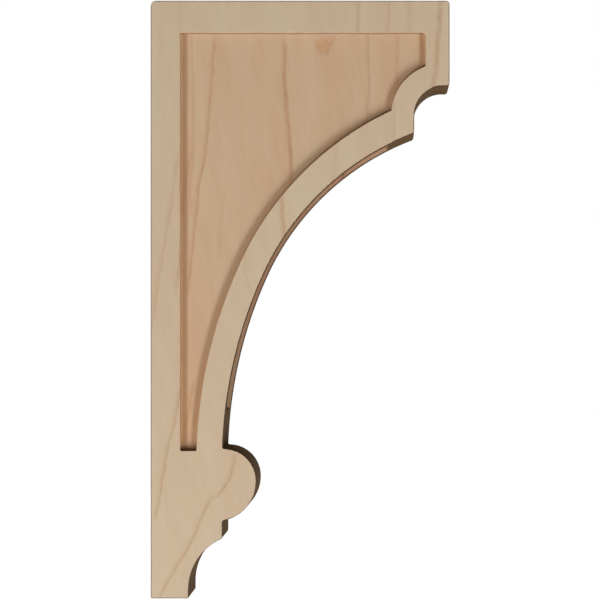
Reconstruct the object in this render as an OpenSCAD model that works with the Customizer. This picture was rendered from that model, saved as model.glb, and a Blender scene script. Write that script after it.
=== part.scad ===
// Wooden corbel bracket: one shaped board that is fixed edge-on to a wall and
// carries a shelf or a beam on its top edge. Both side faces have a shallow
// sunk panel that follows the outline, and the long hollow front edge has a
// broad groove between two thin flanges.
// Millimetres. Back edge on the plane X = 0, the nose points to +X, +Z is up,
// the thickness is centred on Y = 0 and the height on Z = 0.

/* [Overall size] */
// How far the bracket stands out from the wall
bracket_depth = 254; // [200:1:305]
// Height of the bracket
bracket_height = 508; // [450:1:610]
// Thickness of the board
board_thickness = 44.45; // [36:0.05:60]
// Radius on the outline's outer corners, at the top and on the lip
corner_radius = 3; // [1:0.5:5]

/* [Nose and upper cove] */
// Height of the flat nose under the shelf
nose_height = 72.5; // [55:0.5:95]
// Width of the flat left under the nose, before the cove
nose_underside = 5.5; // [5:0.5:12]
// Radius of the quarter-round cove under the nose
cove_radius = 24.5; // [18:0.5:32]
// Height of the small upright face below the cove
step_height = 15.5; // [8:0.5:24]

/* [Long hollow] */
// How far the neck stands out from the wall
neck_depth = 61; // [50:0.5:75]
// Height of the top of the knob above the foot
knob_top_height = 127.5; // [105:0.5:155]
// Lean of the hollow off the vertical at its lower end, in degrees
hollow_lean = 1.9; // [0.5:0.1:5]
// Slope of the hollow off the level at its upper end, in degrees
hollow_slope = 20.6; // [10:0.1:30]
// Share of the lower, flatter arc against the upper, rounder arc
hollow_share = 0.8; // [0.6:0.05:1.4]

/* [Knob, lower cove and foot] */
// Height of the round knob
knob_height = 61.5; // [48:0.5:75]
// Slope of the knob's under side where it meets the neck, in degrees
knob_under_slope = 9; // [2:0.5:20]
// Share of the knob's upper arc against its lower arc
knob_share = 0.85; // [0.6:0.05:1.5]
// Radius of the lower cove
lower_cove_radius = 46.8; // [35:0.1:56]
// How far the foot stands out from the wall
foot_depth = 32.2; // [24:0.1:40]
// Height of the upright face of the foot
foot_height = 7.7; // [3:0.1:15]

/* [Sunk side panels] */
// Depth of the sunk panel in each side face
panel_sunk = 6.35; // [3:0.05:10]
// Width of the upright border along the wall
back_border = 25; // [15:0.5:32]
// Width of the border along the top
top_border = 27; // [15:0.5:40]
// Width of the border at the nose
nose_border = 20.3; // [12:0.1:30]
// Width of the border round the upper cove
cove_border = 19.5; // [12:0.5:26]
// Width of the border along the long hollow, at its lower end
hollow_border = 22; // [15:0.1:26]
// Width of the border along the long hollow, at its upper end
hollow_border_top = 25.5; // [16:0.1:28]
// Slope of the panel's curved edge at its upper end, in degrees
panel_slope = 22.5; // [10:0.1:30]
// Height of the panel's lower end above the foot
panel_foot_height = 125.5; // [110:0.5:160]

/* [Groove in the hollow edge] */
// Depth of the groove
groove_sunk = 6.35; // [3:0.05:10]
// Thickness of the flange left on each side of the groove
flange_thickness = 8; // [4:0.1:12]
// Length of plain edge left above the knob
groove_low_stop = 32; // [15:0.5:60]
// Length of plain edge left below the step, along the hollow
groove_top_stop = 25; // [12:0.5:50]

/* [Hidden] */
$fn = 96;

z_top = bracket_height / 2;
z_foot = -bracket_height / 2;
z_nose = z_top - nose_height;
x_cove = bracket_depth - nose_underside;
z_cove = z_nose - cove_radius;
x_step = x_cove - cove_radius;
z_step = z_cove - step_height;
z_knob = z_foot + knob_top_height;
z_neck = z_knob - knob_height;
// A level just inside the top of the knob, where the hollow's edge is cut off
z_inner = z_knob - knob_height / 12;
x_lower = foot_depth + lower_cove_radius;
z_lower = z_foot + foot_height;
// How far the smaller circle of an arc pair overlaps the larger one, so that the
// two cross beside the joint and leave no step there
arc_overlap = 0.005;
wood_tone = [0.80, 0.68, 0.52];

// Two arcs that run smoothly into each other, from point a, leaving at angle
// ta, to point b, arriving at angle tb. Gives the joint, then the centre and
// radius of each arc, then a and b.
function dot2(p, q) = p[0] * q[0] + p[1] * q[1];
function heading(t) = [cos(t), sin(t)];
function left_of(p) = [-p[1], p[0]];
function arc_reach(v, q, k) =
  let (a = dot2(q, q) - (1 + k) * (1 + k), b = -2 * dot2(v, q), c = dot2(v, v))
  (-b - sqrt(b * b - 4 * a * c)) / (2 * a);
function arc_pair(a, ta, b, tb, k) =
  let (
    ha = heading(ta),
    hb = heading(tb),
    d = arc_reach(b - a, k * ha + hb, k),
    joint = (a + k * d * ha + k * (b - d * hb)) / (1 + k),
    sa = dot2(joint - a, joint - a) / (2 * dot2(left_of(ha), joint - a)),
    sb = dot2(joint - b, joint - b) / (2 * dot2(left_of(hb), joint - b))
  )
  [joint, a + left_of(ha) * sa, abs(sa), b + left_of(hb) * sb, abs(sb), a, b];

// The long hollow, from the top of the knob up to the step
hollow = arc_pair([neck_depth, z_knob], 90 - hollow_lean,
                  [x_step, z_step], hollow_slope, hollow_share);
// The panel's curved edge, which follows the long hollow inside its border
panel_edge = arc_pair(
  [neck_depth, z_knob] + hollow_border * heading(180 - hollow_lean), 90 - hollow_lean,
  [x_step, z_step] + hollow_border_top * heading(90 + hollow_slope), panel_slope,
  hollow_share);
// The knob, from its top round to the neck
knob = arc_pair([neck_depth, z_knob], 2,
                [neck_depth, z_neck], 180 + knob_under_slope, knob_share);

// The side of the line through the points p and q on which the point end lies
module side_of_line(p, q, end) {
  reach = 2 * (bracket_height + bracket_depth);
  along = q - p;
  on_left = dot2(left_of(along), end - p) > 0;
  translate(p)
    rotate(atan2(along[1], along[0]))
      translate([-reach, on_left ? 0 : -reach]) square([2 * reach, reach]);
}

// The discs of an arc pair, each on its own side of the joint, made larger by
// step
module disc_pair(pair, step) {
  small = pair[2] < pair[4] ? 1 : 3;
  large = 4 - small;
  translate(pair[small]) circle(r = pair[small + 1] + step + arc_overlap);
  intersection() {
    translate(pair[large]) circle(r = pair[large + 1] + step);
    side_of_line(pair[0], pair[large], large == 1 ? pair[5] : pair[6]);
  }
}

// All that lies on the open side of a hollow arc pair, moved into the wood by
// step, down to the level low
module open_side(pair, step, low) {
  intersection() {
    disc_pair(pair, step);
    translate([0, low]) square([bracket_depth, bracket_height]);
  }
}

// What a rounding takes off an outer corner at the origin, the wood being to
// the left and above
module corner_waste(r) {
  difference() {
    translate([-r, -1]) square([r + 1, r + 1]);
    translate([-r, r]) circle(r = r);
  }
}

// The outline seen from the side, but for the knob
module outline() {
  difference() {
    polygon([
      [0, z_top],
      [bracket_depth, z_top],
      [bracket_depth, z_nose],
      [x_cove, z_nose],
      [x_cove, z_cove],
      [x_step, z_cove],
      [x_step, z_inner],
      [neck_depth, z_inner],
      [neck_depth, z_lower],
      [foot_depth, z_lower],
      [foot_depth, z_foot],
      [0, z_foot]
    ]);
    translate([x_cove, z_cove]) circle(r = cove_radius);
    open_side(hollow, 0, z_inner);
    translate([x_lower, z_lower]) circle(r = lower_cove_radius);
    translate([bracket_depth, z_nose]) corner_waste(corner_radius);
    translate([bracket_depth, z_top]) mirror([0, 1]) corner_waste(corner_radius);
    translate([0, z_top]) mirror([0, 1]) mirror([1, 0]) corner_waste(corner_radius);
  }
}

// The sunk panel seen from the side
module panel_shape() {
  panel_right = bracket_depth - nose_border;
  panel_low = z_foot + panel_foot_height;
  difference() {
    translate([back_border, panel_low])
      square([panel_right - back_border, z_top - top_border - panel_low]);
    translate([x_cove, z_cove]) circle(r = cove_radius + cove_border);
    open_side(panel_edge, 0, panel_low - 10);
    translate([panel_right, z_top - top_border])
      mirror([0, 1]) corner_waste(corner_radius);
  }
}

// The groove seen from the side, open to the front
module groove_shape() {
  top_turn = groove_top_stop / hollow[4] * 180 / PI;
  reach = hollow[4] + groove_sunk + 20;
  end = hollow[3] + reach * heading(90 + hollow_slope + top_turn);
  low = z_knob + groove_low_stop;
  intersection() {
    open_side(hollow, groove_sunk, low - 10);
    polygon([
      hollow[3],
      end,
      [0, end[1]],
      [0, low],
      [hollow[3][0], low]
    ]);
  }
}

// Stands a side view upright and gives it a thickness centred on Y = at
module board(thick, at) {
  translate([0, at + thick / 2, 0])
    rotate([90, 0, 0])
      linear_extrude(height = thick) children();
}

module corbel() {
  color(wood_tone)
    difference() {
      union() {
        board(board_thickness, 0) outline();
        board(board_thickness, 0) disc_pair(knob, 0);
      }
      for (side = [-1, 1])
        board(2 * panel_sunk, side * board_thickness / 2) panel_shape();
      board(board_thickness - 2 * flange_thickness, 0) groove_shape();
    }
}

corbel();
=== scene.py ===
# %% [markdown]
# # Wooden corbel bracket
# A corbel is a bracket that carries a shelf. This one is a single pale hardwood
# board, cut to a profile with a square nose, a quarter-round cove, a long hollow
# and a round knob. Each side face has a shallow sunk panel, and the hollow front
# edge has a broad groove between two flanges.
# The script builds the board as one clean mesh, then makes its wood out of shader
# nodes, then sets up the studio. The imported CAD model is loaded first, because it
# gives the frame that everything is placed in.

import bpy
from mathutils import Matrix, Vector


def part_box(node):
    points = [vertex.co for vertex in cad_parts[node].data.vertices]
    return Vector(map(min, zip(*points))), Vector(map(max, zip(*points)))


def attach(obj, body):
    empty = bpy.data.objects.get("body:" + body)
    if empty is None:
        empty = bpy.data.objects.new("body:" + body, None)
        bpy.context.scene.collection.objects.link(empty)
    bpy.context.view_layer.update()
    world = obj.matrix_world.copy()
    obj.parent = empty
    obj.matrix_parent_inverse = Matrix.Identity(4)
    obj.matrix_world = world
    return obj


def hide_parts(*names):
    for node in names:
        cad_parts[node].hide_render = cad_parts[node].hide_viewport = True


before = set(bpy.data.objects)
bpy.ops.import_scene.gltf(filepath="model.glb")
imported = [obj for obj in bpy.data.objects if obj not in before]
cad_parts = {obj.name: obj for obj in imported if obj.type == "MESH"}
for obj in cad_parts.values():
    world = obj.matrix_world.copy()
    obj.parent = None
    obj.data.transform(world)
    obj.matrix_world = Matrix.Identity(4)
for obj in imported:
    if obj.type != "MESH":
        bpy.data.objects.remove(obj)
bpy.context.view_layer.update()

# %% Libraries
import math
from types import SimpleNamespace

import bmesh
import bpy
from mathutils import Vector

# %% Overall size, read from the CAD node
board_low, board_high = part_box("corbel")
depth = board_high.x - board_low.x
thickness = board_high.y - board_low.y
face = thickness / 2
z_top = board_high.z
z_foot = board_low.z
print(f"board: {depth:.4f} x {thickness:.4f} x {z_top - z_foot:.4f} m")

# %% [markdown]
# ## The profile
# On the real bracket the profile is sawn and then shaped, so it is made of straight
# cuts and round sweeps. It could be drawn as a curve object, but a curve can't tell
# which way is into the wood. Here each stretch is a small record that gives, at any
# distance along it, the point and the direction into the wood. Every offset needed
# later, such as a rounded arris or the depth of a groove, is then one sum.

# %% Sizes of the profile, in metres
mm = 0.001
nose_height = 72.5 * mm
nose_underside = 5.5 * mm
cove_radius = 24.5 * mm
step_height = 15.5 * mm
neck_depth = 61 * mm
knob_top_height = 127.5 * mm
knob_height = 61.5 * mm
lower_cove_radius = 46.8 * mm
foot_depth = 32.2 * mm
foot_height = 7.7 * mm

z_nose = z_top - nose_height
x_cove = depth - nose_underside
z_cove = z_nose - cove_radius
x_step = x_cove - cove_radius
z_step = z_cove - step_height
z_knob = z_foot + knob_top_height
z_neck = z_knob - knob_height
x_lower = foot_depth + lower_cove_radius
z_lower = z_foot + foot_height
print("nose, step, knob and neck above the foot, mm:",
      [round((z - z_foot) / mm, 1) for z in (z_nose, z_step, z_knob, z_neck)])


# %% Points and directions in the side view, where x is out from the wall and y is up
def spot_at(x, y):
    """A point of the side view."""
    return Vector((x, y))


def heading(degrees):
    """The unit direction at that angle, anticlockwise from level."""
    turn = math.radians(degrees)
    return Vector((math.cos(turn), math.sin(turn)))


def left_of(direction):
    """The direction a quarter turn to the left."""
    return Vector((-direction.y, direction.x))


# %% Stretches: straight cuts and round sweeps
ARC_STEP = 1.25 * mm
STRAIGHT_STEP = 60 * mm


def straight(start, end):
    """A straight cut. The wood is on its left."""
    along = (end - start).normalized()

    def at(s):
        return start + s * along, left_of(along)

    return SimpleNamespace(
        at=at, length=(end - start).length, leave=along, arrive=along, step=STRAIGHT_STEP
    )


def sweep(centre, start, end, turn):
    """A round sweep. turn is 1 anticlockwise, which bulges, or -1 clockwise, which hollows."""
    radius = (start - centre).length
    first = math.atan2(start.y - centre.y, start.x - centre.x)
    last = math.atan2(end.y - centre.y, end.x - centre.x)
    length = radius * ((turn * (last - first)) % math.tau)

    def at(s):
        angle = first + turn * s / radius
        outward = Vector((math.cos(angle), math.sin(angle)))
        return centre + radius * outward, -turn * outward

    leave = -left_of(at(0)[1])
    arrive = -left_of(at(length)[1])
    return SimpleNamespace(
        at=at, length=length, leave=leave, arrive=arrive, step=ARC_STEP
    )


# %% Two sweeps that run smoothly into each other
def arc_pair(start, leaving, end, arriving, share):
    """Two sweeps between two points, with an angle at each: (joint, first centre, second centre)."""
    away = heading(leaving)
    home = heading(arriving)
    between = end - start
    pull = share * away + home
    square = pull.dot(pull) - (1 + share) ** 2
    middle = -2 * between.dot(pull)
    reach = (-middle - math.sqrt(middle**2 - 4 * square * between.dot(between))) / (2 * square)
    joint = (start + share * reach * away + share * (end - reach * home)) / (1 + share)

    def centre(tip, direction):
        side = left_of(direction)
        return tip + side * (joint - tip).length_squared / (2 * side.dot(joint - tip))

    return joint, centre(start, away), centre(end, home)


# %% The long hollow and the knob
# Leans and slopes are in degrees. A share is that of the first sweep against the second.
knob_top = spot_at(neck_depth, z_knob)
knob_low = spot_at(neck_depth, z_neck)
step_low = spot_at(x_step, z_step)
hollow_lean = 1.9
hollow_slope = 20.6
hollow_share = 0.8
knob_top_slope = 2
knob_under_slope = 9
knob_share = 0.85

hollow_joint, hollow_low_centre, hollow_high_centre = arc_pair(
    knob_top, 90 - hollow_lean, step_low, hollow_slope, hollow_share
)
knob_joint, knob_high_centre, knob_low_centre = arc_pair(
    knob_top, knob_top_slope, knob_low, 180 + knob_under_slope, knob_share
)
hollow_low = sweep(hollow_low_centre, knob_top, hollow_joint, -1)
hollow_high = sweep(hollow_high_centre, hollow_joint, step_low, -1)
print(f"hollow: {(hollow_low.length + hollow_high.length) / mm:.1f} mm along the edge")

# %% [markdown]
# ## The groove in the hollow edge
# A cutter runs along the hollow and stops short of the knob and of the step, so the
# groove is the same channel everywhere, with an end wall at each stop. Its section
# is a list of (offset, depth) pairs: the eased arris, the wall, and the small fillet
# at the floor. The same list makes the side walls and the end walls, and where the
# two meet the shallower one holds, which gives a proper inside corner.

# %% Section of the groove's wall
groove_sunk = 6.35 * mm
flange_thickness = 8 * mm
groove_ease = 0.4 * mm
groove_fillet = 0.6 * mm
CORNER_PARTS = 3


def wall_section(sunk, ease, fillet):
    """(offset into the hollow, depth) down a wall, from its eased arris to its floor."""
    quarter = [math.pi / 2 * k / CORNER_PARTS for k in range(CORNER_PARTS + 1)]
    arris = [(ease * (math.sin(t) - 1), ease * (1 - math.cos(t))) for t in quarter]
    foot = [
        (fillet * (1 - math.cos(t)), sunk - fillet * (1 - math.sin(t))) for t in quarter
    ]
    return arris + foot


groove_wall = wall_section(groove_sunk, groove_ease, groove_fillet)
print("points down the groove's wall:", len(groove_wall))

# %% Stations along the hollow, each with the depth that the groove may have there
groove_low_stop = 32 * mm
groove_top_stop = 25 * mm
# Distances that round to the same nanometre stand at the same station.
NANOMETRE_PLACES = 9
STATION_GAP = 0.5 * mm


def stations(stretch, stop, into):
    """(distance, depth) along a stretch that has one stop. into is 1 if the groove lies after it."""
    count = math.ceil(stretch.length / ARC_STEP)
    plain = [stretch.length * k / count for k in range(1, count)]
    clear = groove_ease + groove_fillet + STATION_GAP
    found = [(s, 0 if into * (s - stop) < 0 else groove_sunk) for s in plain
             if abs(s - stop) > clear]
    found += [(stop + into * offset, deep) for offset, deep in groove_wall]
    return sorted(found, key=lambda pair: (round(pair[0], NANOMETRE_PLACES), into * pair[1]))


hollow_low.stations = stations(hollow_low, groove_low_stop, 1)
hollow_high.stations = stations(hollow_high, hollow_high.length - groove_top_stop, -1)
hollow_high.start_depth = groove_sunk
print("stations along the hollow:", len(hollow_low.stations) + len(hollow_high.stations))

# %% Walk round a closed profile, with angles in radians
SMOOTH_TURN = 0.02
CORNER_TURN = 0.2
FEWEST_CORNER_PARTS = 4


def walk(stretches):
    """[(point, direction into the wood, groove depth)] round the profile, with its corners eased."""
    found = []
    for k, (stretch, ease) in enumerate(stretches):
        before = stretches[k - 1][0]
        turn = math.asin(left_of(before.arrive).dot(stretch.leave))
        start_depth = getattr(stretch, "start_depth", 0)
        corner = stretch.at(0)[0]
        if abs(turn) < SMOOTH_TURN:
            found.append((corner, stretch.at(0)[1], start_depth))
        else:
            if before.arrive.dot(stretch.leave) < 0:
                turn = math.copysign(math.pi, turn) - turn
            side = math.copysign(1, turn)
            back = ease * math.tan(abs(turn) / 2)
            centre = corner - back * before.arrive + side * ease * left_of(before.arrive)
            parts = max(FEWEST_CORNER_PARTS, math.ceil(abs(turn) / CORNER_TURN))
            for j in range(parts + 1):
                angle = turn * j / parts
                inward = left_of(before.arrive) * math.cos(angle) - before.arrive * math.sin(angle)
                found.append((centre - side * ease * inward, inward, 0))
        count = math.ceil(stretch.length / stretch.step)
        plain = [(stretch.length * j / count, 0) for j in range(1, count)]
        for s, deep in getattr(stretch, "stations", plain):
            found.append((*stretch.at(s), deep))
    return found


# %% The whole profile, anticlockwise from the foot
soft_corner = 3 * mm
wall_corner = 4.5 * mm
crisp_corner = 1.2 * mm
lip_corner = 3.2 * mm

cove_centre = spot_at(x_cove, z_cove)
cove_low = spot_at(x_step, z_cove)
cove_high = spot_at(x_cove, z_nose)
lower_centre = spot_at(x_lower, z_lower)
lower_rise = math.sqrt(lower_cove_radius**2 - (x_lower - neck_depth) ** 2)
neck_foot = spot_at(neck_depth, z_lower + lower_rise)
foot_front = spot_at(foot_depth, z_lower)
foot_tip = spot_at(foot_depth, z_foot)
nose_low = spot_at(depth, z_nose)
nose_high = spot_at(depth, z_top)
wall_low = spot_at(0, z_foot)
wall_high = spot_at(0, z_top)

profile = walk([
    (straight(wall_low, foot_tip), crisp_corner),
    (straight(foot_tip, foot_front), crisp_corner),
    (sweep(lower_centre, foot_front, neck_foot, -1), crisp_corner),
    (straight(neck_foot, knob_low), lip_corner),
    (sweep(knob_low_centre, knob_low, knob_joint, 1), crisp_corner),
    (sweep(knob_high_centre, knob_joint, knob_top, 1), crisp_corner),
    (hollow_low, crisp_corner),
    (hollow_high, crisp_corner),
    (straight(step_low, cove_low), lip_corner),
    (sweep(cove_centre, cove_low, cove_high, -1), crisp_corner),
    (straight(cove_high, nose_low), crisp_corner),
    (straight(nose_low, nose_high), soft_corner),
    (straight(nose_high, wall_high), soft_corner),
    (straight(wall_high, wall_low), wall_corner),
])
print("profile points:", len(profile))

# %% [markdown]
# ## The sunk panel
# The panel is routed into each side face and follows the profile inside a border. Its
# curved edge has an arc pair of its own, because the border widens a little towards
# the step. Where that edge meets the round of the cove is the crossing of two circles.

# %% Sizes of the panel
panel_sunk = 6.35 * mm
back_border = 25 * mm
top_border = 27 * mm
nose_border = 20.3 * mm
cove_border = 19.5 * mm
hollow_border = 22 * mm
hollow_border_top = 25.5 * mm
panel_slope = 22.5
panel_foot_height = 125.5 * mm
panel_left = back_border
panel_right = depth - nose_border
panel_top = z_top - top_border
panel_low = z_foot + panel_foot_height

panel_joint, panel_low_centre, panel_high_centre = arc_pair(
    knob_top + hollow_border * heading(180 - hollow_lean), 90 - hollow_lean,
    step_low + hollow_border_top * heading(90 + hollow_slope), panel_slope, hollow_share,
)
print("panel width and height, mm:",
      [round(v / mm, 1) for v in (panel_right - panel_left, panel_top - panel_low)])


# %% Where the panel's sweeps begin and end
def crossing(first, first_radius, second, second_radius):
    """Where two circles cross, on the left of the line from the first centre to the second."""
    between = second - first
    along = (between.length_squared + first_radius**2 - second_radius**2) / (2 * between.length)
    off = math.sqrt(first_radius**2 - along**2)
    way = between.normalized()
    return first + way * along + left_of(way) * off


round_radius = cove_radius + cove_border
low_radius = (panel_joint - panel_low_centre).length
high_radius = (panel_joint - panel_high_centre).length
tip_reach = math.sqrt(low_radius**2 - (panel_low - panel_low_centre.y) ** 2)
panel_tip = spot_at(panel_low_centre.x - tip_reach, panel_low)
panel_step = crossing(panel_high_centre, high_radius, cove_centre, round_radius)
rise_reach = math.sqrt(round_radius**2 - (x_cove - panel_right) ** 2)
panel_rise = spot_at(panel_right, z_cove + rise_reach)
low_left = spot_at(panel_left, panel_low)
high_left = spot_at(panel_left, panel_top)
high_right = spot_at(panel_right, panel_top)
print("panel step corner, mm:", [round(v / mm, 1) for v in panel_step])

# %% The panel's outline, anticlockwise
panel_corner = 1.1 * mm
panel = walk([
    (straight(low_left, panel_tip), panel_corner),
    (sweep(panel_low_centre, panel_tip, panel_joint, -1), panel_corner),
    (sweep(panel_high_centre, panel_joint, panel_step, -1), panel_corner),
    (sweep(cove_centre, panel_step, panel_rise, -1), panel_corner),
    (straight(panel_rise, high_right), panel_corner),
    (straight(high_right, high_left), soft_corner),
    (straight(high_left, low_left), panel_corner),
])
print("panel points:", len(panel))

# %% [markdown]
# ## The mesh
# A boolean and a bevel modifier could cut the same shapes, but they leave long thin
# faces along every arris. Instead the edge of the board is a band: one column for each
# profile point and one row for each step through the thickness. The rows at the two
# ends turn the rounded arris, and the rows in the middle drop into the groove. Both
# sunk panels are bands too, and only the flat faces are filled.
# Each vertex carries three numbers for the materials: how far round the profile it lies, how squarely
# its cut crosses the fibres, which on the panel walls also carries painted shade, and how deep in the
# groove it is.

# %% Rows through the thickness: (inset from the profile, place, groove depth)
arris = 0.7 * mm
ARRIS_PARTS = 4


def half_rows():
    """The rows from the front face to the middle of the thickness."""
    quarter = [math.pi / 2 * k / ARRIS_PARTS for k in range(ARRIS_PARTS + 1)]
    rows = [(arris * (1 - math.sin(t)), -face + arris * (1 - math.cos(t)), 0) for t in quarter]
    wall_at = -face + flange_thickness
    return rows + [(0, wall_at + offset, deep) for offset, deep in groove_wall]


front_rows = half_rows()
rows = front_rows + [(inset, -place, deep) for inset, place, deep in reversed(front_rows)]
print("rows:", len(rows))

# %% Start the mesh, with the finish of each region as a material index
PLANED, ROUTED, SHAPED_SHADED, GROOVED = range(4)
# Closer than these, in metres, two vertices are one, or a vertex lies on a plane.
SAME_SPOT = 1e-7
SAME_PLANE = 1e-6
mesh = bmesh.new()
travel = mesh.verts.layers.float.new("travel")
end_grain_and_shade = mesh.verts.layers.float.new("end_grain_and_shade")
sunk = mesh.verts.layers.float.new("sunk")
print("numbers on each vertex:", mesh.verts.layers.float.keys())


def band(loops, finishes):
    """Quads between closed loops of vertices. finishes has one material index for each gap."""
    for lower, upper, finish in zip(loops, loops[1:], finishes):
        for k in range(len(lower)):
            corners = (lower[k - 1], lower[k], upper[k], upper[k - 1])
            quad = mesh.faces.new(corners)
            quad.material_index = finish


# %% Loops round the board's edge
def way_along(points):
    """The distance travelled round the profile to each point."""
    total = 0
    found = []
    for k, (point, _, _) in enumerate(points):
        total += (point - points[k - 1][0]).length if k else 0
        found.append(total)
    return found


def edge_loops():
    """One closed loop of vertices for each row. The fibres run up, so they end on a level edge."""
    distance = way_along(profile)
    loops = []
    for inset, place, row_depth in rows:
        loop = []
        for (point, inward, column_depth), way in zip(profile, distance):
            deep = min(row_depth, column_depth)
            spot = point + inward * (inset + deep)
            vertex = mesh.verts.new((spot.x, place, spot.y))
            vertex[travel] = way
            vertex[end_grain_and_shade] = abs(inward.y)
            vertex[sunk] = deep
            loop.append(vertex)
        loops.append(loop)
    return loops


# %% The board's edge and its finishes
# Sanding the face takes in the first strip of each arris. Where the fibres end square, or run
# straight along the cut, the arris belongs wholly to the shaped edge, and its darker colour there
# paints a thin outline of shade along the arris.
SQUARE_CUT = 0.9
LONG_CUT = 0.02
board_loops = edge_loops()
band(board_loops, [PLANED] + [SHAPED_SHADED] * (len(rows) - 3) + [PLANED])
for quad in mesh.faces:
    crossings = [v[end_grain_and_shade] for v in quad.verts]
    if min(crossings) > SQUARE_CUT or max(crossings) < LONG_CUT:
        quad.material_index = SHAPED_SHADED
    if max(v[sunk] for v in quad.verts) > groove_ease:
        quad.material_index = GROOVED
bmesh.ops.remove_doubles(mesh, verts=mesh.verts, dist=SAME_SPOT)
print("edge band faces:", len(mesh.faces))

# %% Sunk panel in each side face
# On the panel walls the number is painted shade as well as end grain: a wall that looks up, which the
# low lamps leave in shade, gets the full share, and one that looks down less.
panel_ease = 0.45 * mm
panel_fillet = 0.9 * mm
panel_wall = wall_section(panel_sunk, panel_ease, panel_fillet)
downward_shade_share = 0.73


def panel_loops(side):
    """Loops down the panel's wall. side is -1 at the front face and 1 at the back."""
    loops = []
    for offset, deep in panel_wall:
        loop = []
        for point, inward, _ in panel:
            spot = point + inward * offset
            vertex = mesh.verts.new((spot.x, side * (face - deep), spot.y))
            on_wall = 0 < deep < panel_sunk
            # Painted shade: a wall that looks up gets its full upward share, one that looks down a
            # smaller one.
            squareness = max(inward.y, -downward_shade_share * inward.y)
            vertex[end_grain_and_shade] = squareness if on_wall else 0
            loop.append(vertex)
        loops.append(loop)
    return loops


for side in (-1, 1):
    loops = panel_loops(side)
    band(loops, [PLANED] * CORNER_PARTS + [ROUTED] * (len(loops) - 1 - CORNER_PARTS))
print("faces with the panel walls:", len(mesh.faces))


# %% Flat faces: the two side faces, each with a hole, and the two panel floors
def fill(place, finish):
    """Fills between the open edges that lie at this place through the thickness."""
    rim = [e for e in mesh.edges if e.is_boundary
           and all(abs(v.co.y - place) < SAME_PLANE for v in e.verts)]
    made = bmesh.ops.triangle_fill(mesh, edges=rim, use_beauty=True, use_dissolve=False,
                                   normal=(0, math.copysign(1, place), 0))
    for flat in made["geom"]:
        if isinstance(flat, bmesh.types.BMFace):
            flat.material_index = finish


for side in (-1, 1):
    fill(side * face, PLANED)
    fill(side * (face - panel_sunk), ROUTED)
bmesh.ops.recalc_face_normals(mesh, faces=mesh.faces)
open_edges = [e for e in mesh.edges if not e.is_manifold]
print("faces:", len(mesh.faces), "open edges:", len(open_edges),
      "volume, mm3:", round(mesh.calc_volume(signed=True) / mm**3))

# %% The board as an object
board_data = bpy.data.meshes.new("corbel_board")
mesh.to_mesh(board_data)
mesh.free()
board_data.shade_smooth()
board = bpy.data.objects.new("corbel_board", board_data)
bpy.context.scene.collection.objects.link(board)
steady = board.modifiers.new("steady normals", "WEIGHTED_NORMAL")
steady.weight = 100
steady.keep_sharp = True
print("piece:", board.name, "with", len(board_data.polygons), "faces")

# %% [markdown]
# ## The wood
# Maple is pale and close-grained. What the eye reads is: a few thin brown growth
# lines that run with the grain, soft bands of warmer and cooler tone between them,
# very fine fibre streaks, and small flecks. A picture of wood could be wrapped round
# the board, but it would break at every edge. So all of it is solid: the pattern is
# worked out from the place in space, and a line on a side face runs on over the arris
# and through the thickness, as it does in a real board. Each effect is a node group
# that is built once and used by all four finishes.


# %% Helpers for node trees
def put(tree, kind, operation=None, **values):
    """Adds a node. A value that is a socket is linked, and any other is set."""
    made = tree.nodes.new(kind)
    if operation:
        made.operation = operation
    for name, value in values.items():
        key = int(name[1:]) if name[0] == "i" and name[1:].isdigit() else name.replace("_", " ")
        if isinstance(value, bpy.types.NodeSocket):
            tree.links.new(value, made.inputs[key])
        else:
            made.inputs[key].default_value = value
    return made


def sums(tree, operation, *values):
    """A Math node's result."""
    named = {f"i{k}": value for k, value in enumerate(values)}
    return put(tree, "ShaderNodeMath", operation, **named).outputs[0]


def fade(tree, value, start, end):
    """A smooth step: 1 at start and 0 at end."""
    made = put(tree, "ShaderNodeMapRange", i0=value, i1=start, i2=end, i3=1.0, i4=0.0)
    made.interpolation_type = "SMOOTHSTEP"
    return made.outputs[0]


def blend_colours(tree, factor, first, second, way="MIX"):
    """A colour Mix node's result."""
    made = tree.nodes.new("ShaderNodeMix")
    made.data_type = "RGBA"
    made.blend_type = way
    for key, value in ((0, factor), (6, first), (7, second)):
        if isinstance(value, bpy.types.NodeSocket):
            tree.links.new(value, made.inputs[key])
        else:
            made.inputs[key].default_value = value
    return made.outputs[2]


def new_group(name, inputs, outputs):
    """A shader node group with named sockets: (tree, its inputs, its output node)."""
    tree = bpy.data.node_groups.new(name, "ShaderNodeTree")
    kinds = {"f": "NodeSocketFloat", "v": "NodeSocketVector", "c": "NodeSocketColor"}
    for label, (kind, default) in inputs.items():
        socket = tree.interface.new_socket(label, in_out="INPUT", socket_type=kinds[kind])
        if default is not None:
            socket.default_value = default
    for label, kind in outputs.items():
        tree.interface.new_socket(label, in_out="OUTPUT", socket_type=kinds[kind])
    entry = tree.nodes.new("NodeGroupInput")
    end = tree.nodes.new("NodeGroupOutput")
    return tree, entry.outputs, end.inputs


def use_group(tree, group, **values):
    """Places a group in a tree and returns its outputs."""
    made = tree.nodes.new("ShaderNodeGroup")
    made.node_tree = group
    for name, value in values.items():
        key = name.replace("_", " ")
        if isinstance(value, bpy.types.NodeSocket):
            tree.links.new(value, made.inputs[key])
        else:
            made.inputs[key].default_value = value
    return made.outputs


# %% [markdown]
# ### Where a point lies in the tree
# The growth layers of this board stand at a slant through its thickness, so a cut
# that is 6 mm deeper shows the same layer several millimetres to one side. This group
# turns a place into a distance across the layers and a height along them, and lets
# the layers wander a little, as the trunk did. Here and below, the scale of a noise
# is in waves per metre along each axis.

# %% Group: layer field
layer_slant = 1.4
slow_sway = 12 * mm
quick_sway = 3.2 * mm
shake = 1.1 * mm


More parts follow.
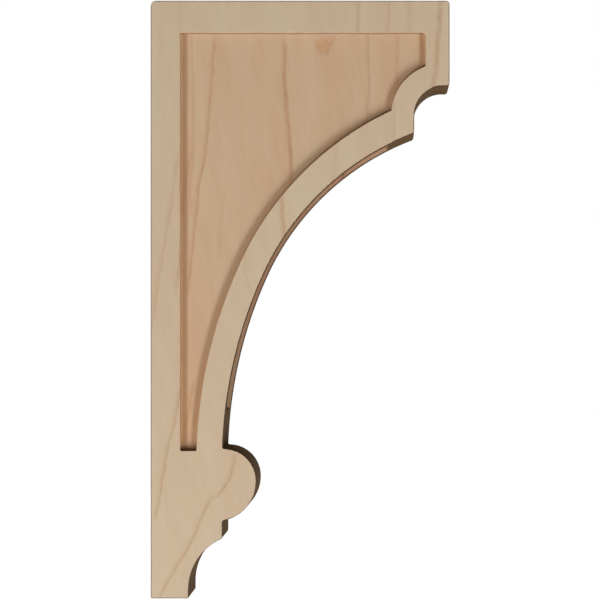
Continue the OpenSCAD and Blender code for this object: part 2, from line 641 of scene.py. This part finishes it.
def layer_field():
    """The distance across the growth layers and the height along them."""
    tree, given, out = new_group(
        "layer field", {"Place": ("v", None)}, {"Across": "f", "Height": "f"}
    )
    parts = put(tree, "ShaderNodeSeparateXYZ", Vector=given["Place"]).outputs
    deep = sums(tree, "ADD", parts["Y"], face)
    plain = sums(tree, "MULTIPLY_ADD", deep, -layer_slant, parts["X"])
    slow_place = put(tree, "ShaderNodeMapping", Vector=given["Place"], Scale=(8.0, 8.0, 14.0),
                     Rotation=(0.4, 0.5, 0.0))
    slow = put(tree, "ShaderNodeTexNoise", Vector=slow_place.outputs[0], Scale=1.0, Detail=1.0)
    quick_place = put(tree, "ShaderNodeMapping", Vector=given["Place"], Scale=(30.0, 30.0, 75.0),
                      Rotation=(0.3, 0.4, 0.0))
    quick = put(tree, "ShaderNodeTexNoise", Vector=quick_place.outputs[0], Scale=1.0, Detail=2.0)
    slow_off = sums(tree, "SUBTRACT", slow.outputs[0], 0.5)
    quick_off = sums(tree, "SUBTRACT", quick.outputs[0], 0.5)
    wandered = sums(tree, "MULTIPLY_ADD", slow_off, slow_sway, plain)
    shaky_place = put(tree, "ShaderNodeMapping", Vector=given["Place"], Scale=(90.0, 90.0, 380.0))
    shaky = put(tree, "ShaderNodeTexNoise", Vector=shaky_place.outputs[0], Scale=1.0, Detail=1.0)
    shaky_off = sums(tree, "SUBTRACT", shaky.outputs[0], 0.5)
    swaying = sums(tree, "MULTIPLY_ADD", quick_off, quick_sway, wandered)
    across = sums(tree, "MULTIPLY_ADD", shaky_off, shake, swaying)
    tree.links.new(across, out["Across"])
    tree.links.new(parts["Z"], out["Height"])
    return tree


layers = layer_field()
print("group:", layers.name)

# %% [markdown]
# ### Growth lines
# A growth line is thin and brown on one side, where the year's late wood ends, and
# fades softly on the other. A wave texture could draw such lines, but evenly spaced,
# and a board has a few strong ones wherever the saw met them. So one group draws one
# line from where it stands, how it leans and how far it runs, and a second group sets
# out all the lines of this board.

# %% Group: one growth line
usual_width = 1.5 * mm
usual_half_length = 50 * mm
glow_width = 5 * mm
full_share = 0.85


def growth_line():
    """One line, and the warmer tone beside it, as two masks."""
    tree, given, out = new_group(
        "growth line",
        {
            "Across": ("f", 0.0), "Height": ("f", 0.0), "Stand": ("f", 0.0),
            "Middle": ("f", 0.0), "Lean": ("f", 0.0), "Bend": ("f", 0.0),
            "Half Length": ("f", usual_half_length),
            "Width": ("f", usual_width), "Glow": ("f", glow_width),
        },
        {"Line": "f", "Tone": "f"},
    )
    up = sums(tree, "SUBTRACT", given["Height"], given["Middle"])
    slope = sums(tree, "MULTIPLY_ADD", up, given["Bend"], given["Lean"])
    stand = sums(tree, "MULTIPLY_ADD", up, slope, given["Stand"])
    off = sums(tree, "SUBTRACT", given["Across"], stand)
    away = sums(tree, "ABSOLUTE", off)
    thin = fade(tree, away, 0.0, given["Width"])
    before = fade(tree, off, 0.0, sums(tree, "MULTIPLY", given["Glow"], -1.0))
    after = fade(tree, off, 0.0, given["Width"])
    tone = sums(tree, "MULTIPLY", before, after)
    start = sums(tree, "MULTIPLY", given["Half Length"], full_share)
    ends = fade(tree, sums(tree, "ABSOLUTE", up), start, given["Half Length"])
    tree.links.new(sums(tree, "MULTIPLY", thin, ends), out["Line"])
    tree.links.new(sums(tree, "MULTIPLY", tone, ends), out["Tone"])
    return tree


one_line = growth_line()
print("group:", one_line.name)

# %% Growth lines of this board
# Each has its stand and middle height (mm), lean, bend (1/m), half length and width (mm),
# and strength.
board_lines = [
    (25, 165, 0.0, 0, 95, 1.3, 0.5),
    (12, 40, 0.135, 0, 100, 1.5, 0.7),
    (34, 114, 0.10, 0, 116, 2.0, 0.9),
    (52, 62, 0.10, 0, 32, 1.4, 0.3),
    (112, 110, -0.075, 0, 119, 2.6, 1.2),
    (176, 210, 0.02, 0, 60, 2.0, 0.7),
    (201, 215, 0.05, 0, 42, 1.6, 0.6),
    (207, 148, -0.02, 0, 22, 1.6, 0.6),
    (221, 235, 0.0, 0, 40, 1.4, 0.5),
    (243, 215, 0.10, 0, 60, 3.2, 1.0),
    (158, 122, 0.05, 0, 30, 1.4, 0.4),
    (81, 25, -0.12, 12, 20, 1.4, 0.5),
    (17.5, -128, 0.22, 0, 62, 1.9, 0.9),
    (32, -209, 0.49, 0, 46, 2.2, 1.0),
    (69.5, -151, 0.55, -17, 21, 2.2, 1.0),
]
print("growth lines:", len(board_lines))

# %% Group: all the growth lines
faintest = 0.35
break_low = 0.36
break_high = 0.62


def growth_lines():
    """All the lines together, each paler where its colour breaks off."""
    tree, given, out = new_group(
        "growth lines", {"Across": ("f", 0.0), "Height": ("f", 0.0)}, {"Line": "f", "Tone": "f"}
    )
    total_line = 0.0
    total_tone = 0.0
    for stand, middle, lean, bend, half, width, strength in board_lines:
        made = use_group(
            tree, one_line, Across=given["Across"], Height=given["Height"], Stand=stand * mm,
            Middle=middle * mm, Lean=lean, Bend=bend, Half_Length=half * mm, Width=width * mm,
        )
        line = sums(tree, "MULTIPLY", made["Line"], strength)
        tone = sums(tree, "MULTIPLY", made["Tone"], strength)
        total_line = sums(tree, "MAXIMUM", total_line, line)
        total_tone = sums(tree, "MAXIMUM", total_tone, tone)
    spot = put(tree, "ShaderNodeCombineXYZ", X=given["Across"], Z=given["Height"])
    spread = put(tree, "ShaderNodeMapping", Vector=spot.outputs[0], Scale=(40.0, 1.0, 110.0))
    breaks = put(tree, "ShaderNodeTexNoise", Vector=spread.outputs[0], Scale=1.0, Detail=3.0)
    kept = put(tree, "ShaderNodeMapRange", i0=breaks.outputs[0], i1=break_low, i2=break_high,
               i3=faintest, i4=1.0)
    tree.links.new(sums(tree, "MULTIPLY", total_line, kept.outputs[0]), out["Line"])
    tree.links.new(total_tone, out["Tone"])
    return tree


lines = growth_lines()
print("group:", lines.name)

# %% [markdown]
# ### Fibre, flecks and soft bands
# The fibres run up the board, so the noise that draws them is squeezed across the
# grain and stretched along it. Flecks are short dark dashes, bands are broad changes
# of tone, and the mottle is the faint cloudiness that planed maple shows.

# %% Group: fibre and figure
grain_shear = 2.3
fleck_edge = 0.64
fleck_full = 0.74


def figure():
    """Fibre streaks, short flecks, soft bands and mottle, each from 0 to 1."""
    tree, given, out = new_group(
        "fibre and figure",
        {"Place": ("v", None), "Across": ("f", 0.0), "Height": ("f", 0.0)},
        {"Fibre": "f", "Fleck": "f", "Band": "f", "Mottle": "f"},
    )
    parts = put(tree, "ShaderNodeSeparateXYZ", Vector=given["Place"]).outputs
    sheared = sums(tree, "MULTIPLY_ADD", given["Across"], grain_shear, parts["Z"])
    grain = put(tree, "ShaderNodeCombineXYZ", X=given["Across"], Y=parts["Y"], Z=sheared)

    def noise(scale, detail, rough=0.5):
        place = put(tree, "ShaderNodeMapping", Vector=grain.outputs[0], Scale=scale)
        made = put(tree, "ShaderNodeTexNoise", Vector=place.outputs[0], Scale=1.0,
                   Detail=detail, Roughness=rough)
        return made.outputs[0]

    fleck = noise((1500.0, 1500.0, 160.0), 1.0)
    tree.links.new(noise((1100.0, 1100.0, 22.0), 3.0, 0.65), out["Fibre"])
    tree.links.new(fade(tree, fleck, fleck_full, fleck_edge), out["Fleck"])
    tree.links.new(noise((42.0, 20.0, 6.0), 2.0), out["Band"])
    tree.links.new(noise((60.0, 60.0, 32.0), 2.0), out["Mottle"])
    return tree


figured = figure()
print("group:", figured.name)

# %% [markdown]
# ### The mineral mark
# Near the top of the front panel there is a small pinkish-brown mark, where a bud or
# a bruise was closed over. It is a blot with ragged sides and one thin branch that
# leans outwards, with the bud itself as a darker core at its foot. All are products
# of smooth steps, and those of the blot are worked out from a place that noise has
# shaken. The mark runs only part of the way through the board.

# %% Group: mineral mark
mark_x = 146.5 * mm
mark_z = 210.5 * mm
blot_splay = 0.42
blot_shake = (11 * mm, 0.0, 13 * mm)
branch_foot_x = 149.5 * mm
branch_lean = 0.45
branch_middle = 7 * mm
branch_strength = 0.6
branch_core = 0.5
mark_full = -0.6 * face
mark_gone = -0.3 * face


def mineral_mark():
    """The stain and its darker core, as two masks."""
    tree, given, out = new_group("mineral mark", {"Place": ("v", None)}, {"Mark": "f", "Core": "f"})
    ragged_place = put(tree, "ShaderNodeMapping", Vector=given["Place"], Scale=(300.0, 300.0, 210.0))
    ragged = put(tree, "ShaderNodeTexNoise", Vector=ragged_place.outputs[0], Scale=1.0, Detail=4.0)
    centred = put(tree, "ShaderNodeVectorMath", "SUBTRACT", i0=ragged.outputs[1], i1=(0.5,) * 3)
    shaken = put(tree, "ShaderNodeVectorMath", "MULTIPLY_ADD", i0=centred.outputs[0],
                 i1=blot_shake, i2=given["Place"])
    parts = put(tree, "ShaderNodeSeparateXYZ", Vector=shaken.outputs[0]).outputs
    aside = sums(tree, "ABSOLUTE", sums(tree, "SUBTRACT", parts["X"], mark_x))
    up = sums(tree, "SUBTRACT", parts["Z"], mark_z)
    over = sums(tree, "MULTIPLY_ADD", up, -blot_splay, aside)
    inside = fade(tree, over, 1.2 * mm, 6.5 * mm)
    foot = fade(tree, up, 1.5 * mm, -1.5 * mm)
    head = fade(tree, up, 7 * mm, 15 * mm)
    blot = sums(tree, "MULTIPLY", inside, sums(tree, "MULTIPLY", foot, head))
    still = put(tree, "ShaderNodeSeparateXYZ", Vector=given["Place"]).outputs
    climb = sums(tree, "SUBTRACT", still["Z"], mark_z)
    axis = sums(tree, "MULTIPLY_ADD", climb, branch_lean, branch_foot_x)
    beside = sums(tree, "ABSOLUTE", sums(tree, "SUBTRACT", still["X"], axis))
    twig = fade(tree, beside, 0.2 * mm, 2.2 * mm)
    from_middle = sums(tree, "ABSOLUTE", sums(tree, "SUBTRACT", climb, branch_middle))
    twig_ends = fade(tree, from_middle, 5 * mm, 9 * mm)
    branch = sums(tree, "MULTIPLY", sums(tree, "MULTIPLY", twig, twig_ends), branch_strength)
    bud = sums(tree, "MULTIPLY", fade(tree, beside, 0.6 * mm, 2.2 * mm),
               fade(tree, sums(tree, "ABSOLUTE", climb), 0.5 * mm, 3 * mm))
    near_front = fade(tree, still["Y"], mark_full, mark_gone)
    either = sums(tree, "MAXIMUM", blot, branch)
    tree.links.new(sums(tree, "MULTIPLY", either, near_front), out["Mark"])
    darkest = sums(tree, "MAXIMUM", bud, sums(tree, "MULTIPLY", branch, branch_core))
    tree.links.new(sums(tree, "MULTIPLY", darkest, near_front), out["Core"])
    return tree


mark = mineral_mark()
print("group:", mark.name)

# %% [markdown]
# ### Wood colour
# One group mixes all of it. It is given the pale tone, a second tone for the soft
# bands and the brown of the lines, so each finish can have its own, and it gives back
# the colour, a height for the bump, and the fibre, which the roughness follows.

# %% Group: maple
# Depths say how far each effect pulls the colour, from 0 to 1.
band_weight = 0.55
mottle_weight = 0.45
warm_at = 0.34
pale_at = 0.68
fibre_depth = 0.15
tone_depth = 0.16
line_depth = 0.27
fleck_depth = 0.10
stain = (0.47, 0.235, 0.10, 1.0)
stain_depth = 0.5
bud_brown = (0.25, 0.10, 0.05, 1.0)
bud_depth = 0.25
line_hollow = 0.5


def maple():
    """The wood's colour, a height for the bump, and the fibre for the roughness."""
    tree, given, out = new_group(
        "maple",
        {
            "Place": ("v", None),
            "Pale": ("c", (0.6, 0.5, 0.3, 1.0)), "Warm": ("c", (0.55, 0.4, 0.25, 1.0)),
            "Brown": ("c", (0.3, 0.17, 0.08, 1.0)), "Contrast": ("f", 1.0),
        },
        {"Colour": "c", "Height": "f", "Fibre": "f"},
    )
    field = use_group(tree, layers, Place=given["Place"])
    drawn = use_group(tree, lines, Across=field["Across"], Height=field["Height"])
    seen = use_group(
        tree, figured, Place=given["Place"], Across=field["Across"], Height=field["Height"]
    )
    spot = use_group(tree, mark, Place=given["Place"])
    bands = sums(tree, "ADD", sums(tree, "MULTIPLY", seen["Band"], band_weight),
                 sums(tree, "MULTIPLY", seen["Mottle"], mottle_weight))
    warmth = fade(tree, bands, pale_at, warm_at)
    tinted = blend_colours(tree, warmth, given["Pale"], given["Warm"])
    fibre = sums(tree, "SUBTRACT", seen["Fibre"], 0.5)
    shade = sums(tree, "MULTIPLY_ADD", fibre, fibre_depth, 1.0)
    streaked = blend_colours(tree, 1.0, tinted, shade, "MULTIPLY")
    tone_strength = sums(tree, "MULTIPLY", given["Contrast"], tone_depth)
    tone_share = sums(tree, "MULTIPLY", drawn["Tone"], tone_strength)
    toned = blend_colours(tree, tone_share, streaked, given["Brown"])
    line_strength = sums(tree, "MULTIPLY", given["Contrast"], line_depth)
    line_share = sums(tree, "MULTIPLY", drawn["Line"], line_strength)
    lined = blend_colours(tree, line_share, toned, given["Brown"])
    fleck_share = sums(tree, "MULTIPLY", seen["Fleck"], fleck_depth)
    flecked = blend_colours(tree, fleck_share, lined, given["Brown"])
    stain_share = sums(tree, "MULTIPLY", spot["Mark"], stain_depth)
    stained = blend_colours(tree, stain_share, flecked, stain)
    bud_share = sums(tree, "MULTIPLY", spot["Core"], bud_depth)
    marked = blend_colours(tree, bud_share, stained, bud_brown)
    relief = sums(tree, "SUBTRACT", seen["Fibre"], sums(tree, "MULTIPLY", drawn["Line"], line_hollow))
    tree.links.new(marked, out["Colour"])
    tree.links.new(relief, out["Height"])
    tree.links.new(seen["Fibre"], out["Fibre"])
    return tree


maple_group = maple()
print("group:", maple_group.name)

# %% [markdown]
# ### End grain and painted shade
# Where a cut crosses the fibres, their open ends drink in light, and the wood is browner. The mesh
# knows each cut's direction, so it carries how squarely the cut crosses the fibres, from 0 along the
# grain to 1 across it, and this group darkens by that share. On the panel walls that number is
# weighted towards walls that look up, so there the darkening is painted shade as well.

# %% Group: end grain
open_fibre_and_shade = (0.06, 0.03, 0.012, 1.0)
squareness_power = 2.0


def end_grain_shade_group():
    """The colour, darkened where the cut crosses the fibres, and by painted shade where the number
    carries it.
    """
    tree, given, out = new_group(
        "end grain and shade",
        {"Colour": ("c", (0.5, 0.4, 0.3, 1.0)), "Crossing": ("f", 0.0), "Depth": ("f", 0.35)},
        {"Colour": "c"},
    )
    squareness = sums(tree, "POWER", given["Crossing"], squareness_power)
    share = sums(tree, "MULTIPLY", squareness, given["Depth"])
    tree.links.new(blend_colours(tree, share, given["Colour"], open_fibre_and_shade), out["Colour"])
    return tree


open_ends_and_shade = end_grain_shade_group()
print("group:", open_ends_and_shade.name)

# %% [markdown]
# ### The four finishes
# One tool after another touched this board, and each left its own surface. All four
# finishes start from the maple group and differ in their tones, their gloss and the
# depth of their bump.

# %% Start of a wood material, and what can be added to it
FIBRE_LOW = 0.3
FIBRE_HIGH = 0.7


def wood_material(name, pale, warm, brown, contrast, gloss):
    """A material made of the maple group and a Principled shader, with its parts by name."""
    made = bpy.data.materials.new(name)
    made.use_nodes = True
    tree = made.node_tree
    shader = tree.nodes["Principled BSDF"]
    place = tree.nodes.new("ShaderNodeTexCoord").outputs["Object"]
    wood = use_group(tree, maple_group, Place=place, Pale=pale, Warm=warm, Brown=brown,
                     Contrast=contrast)
    tree.links.new(wood["Colour"], shader.inputs["Base Color"])
    shader.inputs["Specular IOR Level"].default_value = gloss
    return SimpleNamespace(material=made, tree=tree, wood=wood, colour=wood["Colour"],
                           shader=shader, place=place)


def roughness_from(kit, low, high):
    """Roughness that follows the fibres, as a sanded surface has."""
    spread = put(kit.tree, "ShaderNodeMapRange", i0=kit.wood["Fibre"], i1=FIBRE_LOW, i2=FIBRE_HIGH,
                 i3=low, i4=high)
    kit.tree.links.new(spread.outputs[0], kit.shader.inputs["Roughness"])


def bump_from(kit, height, distance):
    """A bump of the given depth, in metres."""
    bump = put(kit.tree, "ShaderNodeBump", Strength=1.0, Distance=distance, Height=height)
    kit.tree.links.new(bump.outputs[0], kit.shader.inputs["Normal"])


def add_end_grain_and_shade(kit, depth):
    """Darkens the cuts that cross the fibres, and paints shade where the mesh's number carries it."""
    crossing = kit.tree.nodes.new("ShaderNodeAttribute")
    crossing.attribute_name = "end_grain_and_shade"
    ends = use_group(kit.tree, open_ends_and_shade, Colour=kit.colour,
                     Crossing=crossing.outputs["Fac"], Depth=depth)
    kit.tree.links.new(ends["Colour"], kit.shader.inputs["Base Color"])


# %% Colour from the numbers a paint program shows
def shown(red, green, blue):
    """The colour that shows as these 0 to 255 values."""
    parts = [v / 255 for v in (red, green, blue)]
    linear = [p / 12.92 if p <= 0.04045 else ((p + 0.055) / 1.055) ** 2.4 for p in parts]
    return (*linear, 1.0)


# %% [markdown]
# ### Planed face
# The side faces were planed and then sanded along the grain, which also takes in the
# first strip of each arris. They are the palest and greyest part of the board. Fine
# sanding leaves them matt and smooth, so the bump is the lowest of the four.

# %% Material: planed maple
planed = wood_material(
    "maple_planed", pale=shown(195, 175, 147), warm=shown(193, 169, 142), brown=shown(160, 110, 70),
    contrast=1.0, gloss=0.3,
)
roughness_from(planed, low=0.5, high=0.66)
bump_from(planed, planed.wood["Height"], distance=0.02 * mm)
print("material:", planed.material.name)

# %% [markdown]
# ### Routed floor
# A cutter leaves the sunk panels with fresh wood that was sanded less, so they are pinker and a
# little darker. Towards the foot the floor is mixed a shade yellower. Close to the walls, where they
# throw their shadows, the floor is painted a warmer, lighter tone that stands for the glow the wood
# throws back into its shade. In the tight corner at the foot of the curved walls, a brown painted
# shade darkens it. Both follow from how near a point lies to the panel's outline, so that distance is
# worked out first, from the same circles that shaped the mesh.

# %% How near a point of the panel lies to the panel's wall
corner_shade_core = 1.3 * mm
corner_shade_end = 3 * mm
glow_core = 3 * mm
glow_end = 8 * mm


def panel_glow_and_shade(tree, place):
    """Two masks: the floor near the walls, for painted bounce light, and the tight corner under the
    curved walls, for painted shade.
    """
    parts = put(tree, "ShaderNodeSeparateXYZ", Vector=place).outputs
    flat = put(tree, "ShaderNodeCombineXYZ", X=parts["X"], Z=parts["Z"]).outputs[0]

    def clear_of(centre, radius, elsewhere):
        """The gap to one curved wall, and the corner mask of painted shade, weighted by how steeply
        that wall looks up there.
        """
        reach = put(tree, "ShaderNodeVectorMath", "DISTANCE", i0=flat, i1=(centre.x, 0.0, centre.y))
        gap = sums(tree, "ADD", sums(tree, "SUBTRACT", reach.outputs["Value"], radius), elsewhere)
        rise = sums(tree, "SUBTRACT", parts["Z"], centre.y)
        upward = sums(tree, "POWER", sums(tree, "DIVIDE", rise, reach.outputs["Value"]), 2.0)
        return gap, sums(tree, "MULTIPLY", upward, fade(tree, gap, corner_shade_core, corner_shade_end))

    above = sums(tree, "GREATER_THAN", parts["Z"], panel_joint.y)
    below = sums(tree, "SUBTRACT", 1.0, above)
    gap, corner = clear_of(cove_centre, round_radius, 0.0)
    for centre, radius, elsewhere in (
        (panel_low_centre, low_radius, above), (panel_high_centre, high_radius, below)
    ):
        other_gap, other_corner = clear_of(centre, radius, elsewhere)
        gap = sums(tree, "MINIMUM", gap, other_gap)
        corner = sums(tree, "MAXIMUM", corner, other_corner)
    for other in (
        sums(tree, "SUBTRACT", parts["X"], panel_left),
        sums(tree, "SUBTRACT", panel_right, parts["X"]),
    ):
        gap = sums(tree, "MINIMUM", gap, other)
    return fade(tree, gap, glow_core, glow_end), corner


# %% Material: routed maple
routed = wood_material(
    "maple_routed", pale=shown(193, 165, 135), warm=shown(190, 157, 127), brown=shown(160, 104, 64),
    contrast=1.2, gloss=0.25,
)
roughness_from(routed, low=0.58, high=0.75)
bump_from(routed, routed.wood["Height"], distance=0.04 * mm)
painted_glow_depth = 0.28
corner_shade_depth = 0.85
lowness_depth = 0.25
rim, corner = panel_glow_and_shade(routed.tree, routed.place)
# Painted bounce light: near the walls, in their shadows, the floor is mixed towards a warm light
# orange.
painted_glow_share = sums(routed.tree, "MULTIPLY", rim, painted_glow_depth)
painted_glow = blend_colours(routed.tree, painted_glow_share, routed.wood["Colour"], shown(212, 152, 92))
# Painted shade: the tight corner under the curved walls is multiplied by a dark brown.
corner_shade_share = sums(routed.tree, "MULTIPLY", corner, corner_shade_depth)
corner_shaded = blend_colours(routed.tree, corner_shade_share, painted_glow, shown(140, 84, 30), "MULTIPLY")
level = put(routed.tree, "ShaderNodeSeparateXYZ", Vector=routed.place).outputs["Z"]
lowness = fade(routed.tree, level, z_knob, 0.0)
low_share = sums(routed.tree, "MULTIPLY", lowness, lowness_depth)
routed.colour = blend_colours(routed.tree, low_share, corner_shaded, shown(198, 156, 108))
# The panel walls darken by the mesh's number: end grain, and painted shade on the walls that look up.
add_end_grain_and_shade(routed, depth=0.85)
print("material:", routed.material.name)

# %% [markdown]
# ### Shaped edge, with painted shade
# The profile was sawn and shaped across the ends of the fibres. Its colour is much browner than the
# faces: partly the cut surface itself, and partly painted shade, since these edges get little of the
# side light. It is darkest where the fibres end square, at the top, on the lip and on the knob, which
# is end grain and painted shade together. The cutter also leaves fine ripples across its path. A
# pattern in space can't follow the profile round its curves, so they are a sine of the distance
# travelled along it.

# %% Material: shaped edge
ripple_pitch = 1.9 * mm
ripple_height = 0.1
# Painted shade: the dark tones below stand partly for the side light that these edges miss.
shaped_shaded = wood_material(
    "maple_shaped_shaded", pale=shown(103, 86, 68), warm=shown(99, 80, 62), brown=shown(66, 46, 32),
    contrast=1.0, gloss=0.0,
)
roughness_from(shaped_shaded, low=0.6, high=0.8)
travelled = shaped_shaded.tree.nodes.new("ShaderNodeAttribute")
travelled.attribute_name = "travel"
swings = sums(shaped_shaded.tree, "MULTIPLY", travelled.outputs["Fac"], math.tau / ripple_pitch)
ripple = sums(shaped_shaded.tree, "SINE", swings)
rippled = sums(shaped_shaded.tree, "MULTIPLY_ADD", ripple, ripple_height, shaped_shaded.wood["Height"])
bump_from(shaped_shaded, rippled, distance=0.05 * mm)
add_end_grain_and_shade(shaped_shaded, depth=0.62)
print("material:", shaped_shaded.material.name)

# %% [markdown]
# ### Groove
# The groove was cut along the hollow after the edge was shaped. Its floor and walls are
# fresh wood, paler than the edge beside them and pinker than the faces. It needs next
# to no end grain of its own, because the cutter ran with the sweep of the hollow.

# %% Material: grooved maple
grooved = wood_material(
    "maple_grooved", pale=shown(174, 145, 118), warm=shown(174, 136, 112), brown=shown(116, 78, 50),
    contrast=1.2, gloss=0.0,
)
roughness_from(grooved, low=0.6, high=0.78)
bump_from(grooved, grooved.wood["Height"], distance=0.04 * mm)
add_end_grain_and_shade(grooved, depth=0.05)
print("material:", grooved.material.name)

# %% Finish the board: slots, body and the CAD node that it stands for
for finish in (planed, routed, shaped_shaded, grooved):
    board_data.materials.append(finish.material)
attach(board, "root")
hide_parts("corbel")
print("finishes:", [material.name for material in board_data.materials])

# %% [markdown]
# ## The studio
# The board hangs clear in a white studio, over a plain pale floor. A picture of a
# studio could light it, but plain lamps are easier to place and to change. Two tall
# soft boxes stand low in front, one on each side, so that light comes up under the lip
# and each wall of the sunk panel throws a soft shadow on the panel's floor. Two weaker
# boxes behind and one above keep the other sides readable. The white room gives only
# a little light, so the edges stay deep.

# %% Soft boxes
lamp_distance = 4.5


def soft_box(name, azimuth, elevation, across, upright, strength):
    """A lamp aimed at the board's middle. Azimuth 0 is in front, and 90 on the nose's side.

    Its sizes are in degrees, as seen from the board, and its strength in watts at one metre.
    """
    lamp = bpy.data.lights.new(name, "AREA")
    lamp.shape = "RECTANGLE"
    lamp.size = 2 * lamp_distance * math.tan(math.radians(across / 2))
    lamp.size_y = 2 * lamp_distance * math.tan(math.radians(upright / 2))
    lamp.energy = strength * lamp_distance**2
    box = bpy.data.objects.new(name, lamp)
    bpy.context.scene.collection.objects.link(box)
    side = math.radians(azimuth)
    rise = math.radians(elevation)
    level_reach = math.cos(rise)
    towards = Vector((math.sin(side) * level_reach, -math.cos(side) * level_reach, math.sin(rise)))
    middle = Vector((depth / 2, 0, 0))
    box.location = middle + lamp_distance * towards
    box.rotation_mode = "QUATERNION"
    box.rotation_quaternion = towards.to_track_quat("Z", "Y")
    box.visible_camera = False


soft_box("left_box", azimuth=-42, elevation=-31, across=14, upright=40, strength=7.6)
soft_box("right_box", azimuth=42, elevation=-31, across=14, upright=40, strength=7.6)
soft_box("back_left_box", azimuth=-162, elevation=-25, across=30, upright=35, strength=5.0)
soft_box("back_right_box", azimuth=162, elevation=-25, across=30, upright=35, strength=5.0)
soft_box("top_box", azimuth=180, elevation=62, across=30, upright=30, strength=5.5)
print("soft boxes:", len(bpy.data.lights))

# %% White room
world = bpy.data.worlds.new("white room")
bpy.context.scene.world = world
world.use_nodes = True
room = world.node_tree
room.nodes.clear()
seen_white = put(room, "ShaderNodeBackground", Color=(1, 1, 1, 1), Strength=1.0)
fill_light = put(room, "ShaderNodeBackground", Color=(1.0, 0.98, 0.95, 1), Strength=0.1)
path_kind = room.nodes.new("ShaderNodeLightPath")
choice = room.nodes.new("ShaderNodeMixShader")
room.links.new(path_kind.outputs["Is Camera Ray"], choice.inputs[0])
room.links.new(fill_light.outputs[0], choice.inputs[1])
room.links.new(seen_white.outputs[0], choice.inputs[2])
sky = room.nodes.new("ShaderNodeOutputWorld")
room.links.new(choice.outputs[0], sky.inputs[0])
print("world:", world.name)

# %% Pale floor, below the soft boxes
floor_data = bpy.data.meshes.new("floor")
floor_half = 40.0
floor_z = z_foot - lamp_distance
floor_data.from_pydata(
    [(-floor_half, -floor_half, floor_z), (floor_half, -floor_half, floor_z),
     (floor_half, floor_half, floor_z), (-floor_half, floor_half, floor_z)],
    [], [(0, 1, 2, 3)],
)
floor = bpy.data.objects.new("floor", floor_data)
bpy.context.scene.collection.objects.link(floor)
floor_paint = bpy.data.materials.new("pale_floor")
floor_paint.use_nodes = True
paint = floor_paint.node_tree
paint_shader = paint.nodes["Principled BSDF"]
paint_shader.inputs["Base Color"].default_value = (0.85, 0.85, 0.84, 1)
paint_shader.inputs["Roughness"].default_value = 0.9
paint_shader.inputs["Emission Color"].default_value = (1, 1, 1, 1)
sight = paint.nodes.new("ShaderNodeLightPath")
paint.links.new(sight.outputs["Is Camera Ray"], paint_shader.inputs["Emission Strength"])
floor_data.materials.append(floor_paint)
print("floor below the foot, m:", round(z_foot - floor_z, 2))

# %% [markdown]
# ### The camera
# It stands square to the side face, a little below the board's middle and nearer the
# nose. The lens is shifted instead of the camera turned, so upright lines stay upright.

# %% Camera
camera_data = bpy.data.cameras.new("camera")
camera_data.lens = 84
camera_data.sensor_width = 36
camera_data.shift_x = -0.1512
camera_data.shift_y = 0.0464
camera = bpy.data.objects.new("camera", camera_data)
camera.location = (0.204, -1.2117, -0.024)
camera.rotation_euler = (math.pi / 2, 0, 0)
bpy.context.scene.collection.objects.link(camera)
bpy.context.scene.camera = camera
bpy.context.scene.view_settings.view_transform = "Standard"
print("camera:", camera_data.lens, "mm lens,", round(-camera.location.y, 2), "m in front")
